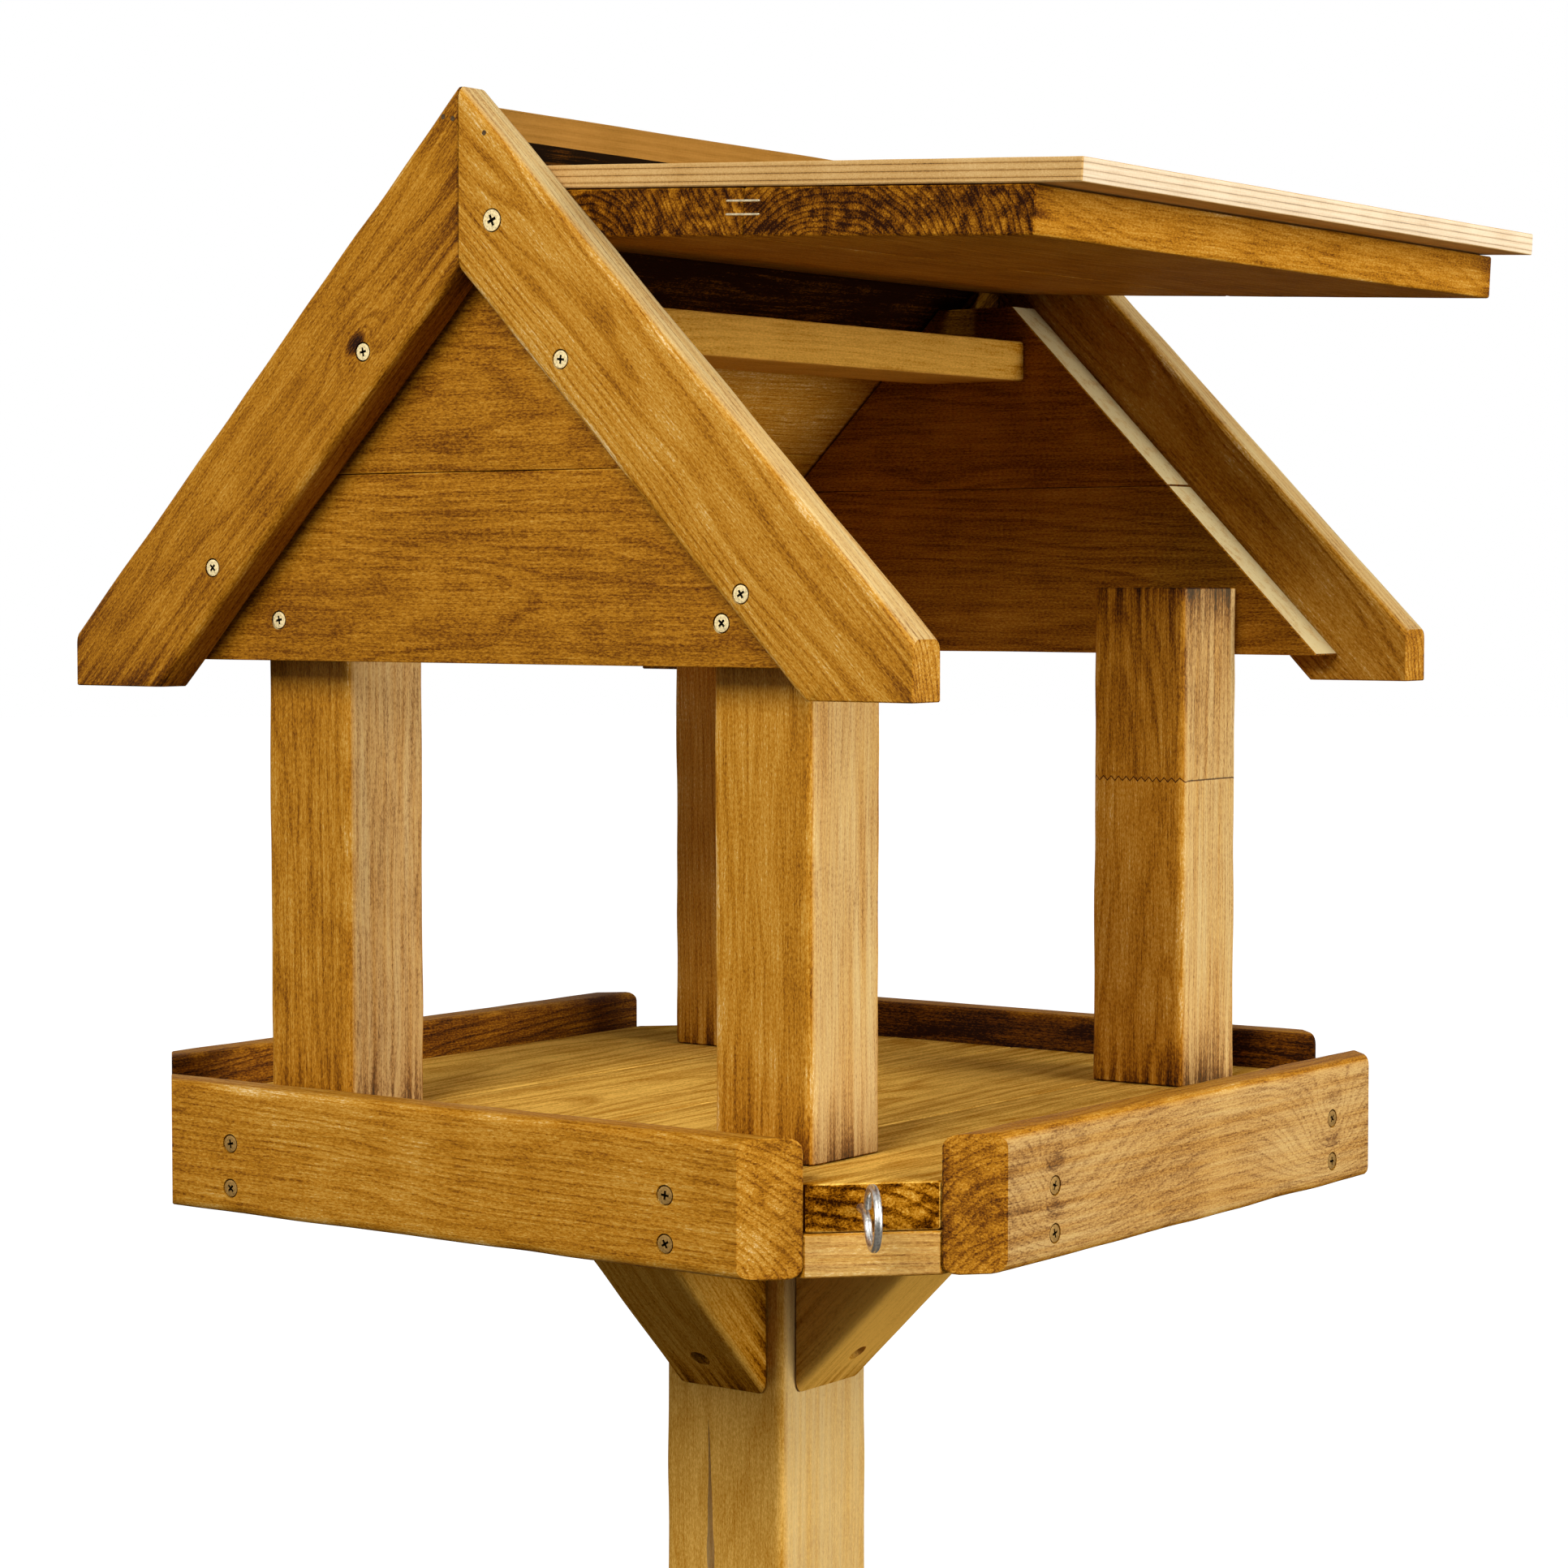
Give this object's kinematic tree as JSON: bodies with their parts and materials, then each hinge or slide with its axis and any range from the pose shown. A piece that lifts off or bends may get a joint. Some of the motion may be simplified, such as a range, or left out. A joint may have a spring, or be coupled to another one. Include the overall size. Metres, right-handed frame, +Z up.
{
  "type": "bird table",
  "caption": "Timber bird table on a square pole: rimmed tray with open corners, corner posts and a gabled roof whose one side lifts as a lid.",
  "frame": {"origin": "centre of the pole's foot", "axes": "+Z up along the pole, Y along the roof's ridge, +X to the side where the roof lifts"},
  "size_m": [0.482, 0.428, 1.6263],
  "materials": {
    "stained_softwood": "satin",
    "stained_softwood_light": "satin",
    "plywood": "satin",
    "zinc_plated_steel": "satin"
  },
  "bodies": {
    "feeder": {"barge_front_left": "stained_softwood", "barge_front_right": "stained_softwood", "barge_rear_left": "stained_softwood", "barge_rear_right": "stained_softwood", "batten_front_left": "stained_softwood_light", "batten_front_right": "stained_softwood_light", "batten_rear_left": "stained_softwood_light", "batten_rear_right": "stained_softwood_light", "brace_front": "stained_softwood_light", "brace_left": "stained_softwood_light", "brace_rear": "stained_softwood_light", "brace_right": "stained_softwood_light", "fixed_roof_plank_lower": "stained_softwood", "fixed_roof_plank_upper": "stained_softwood", "fixed_roof_ply": "plywood", "floor_plank_1": "stained_softwood", "floor_plank_2": "stained_softwood", "floor_plank_3": "stained_softwood", "floor_plank_4": "stained_softwood", "gable_front_lower": "stained_softwood", "gable_front_upper": "stained_softwood", "gable_rear_lower": "stained_softwood", "gable_rear_upper": "stained_softwood", "pole": "stained_softwood", "post_front_left": "stained_softwood", "post_front_right": "stained_softwood", "post_rear_left": "stained_softwood", "post_rear_right": "stained_softwood", "ridge_rail": "stained_softwood", "rim_front": "stained_softwood", "rim_left": "stained_softwood", "rim_rear": "stained_softwood", "rim_right": "stained_softwood", "screw_eye": "zinc_plated_steel"},
    "lid": {"lid_plank_upper": "stained_softwood", "lid_plank_lower": "stained_softwood", "lid_ply": "plywood", "pivot_screw_front": "zinc_plated_steel", "pivot_screw_rear": "zinc_plated_steel"}
  },
  "joints": [
    {"name": "lid_hinge", "type": "hinge", "parent": "feeder", "child": "lid", "pos_m": [0.01718, 0, 1.57362], "axis": [0, 1, 0], "range_deg": [-12, 42.1]}
  ]
}
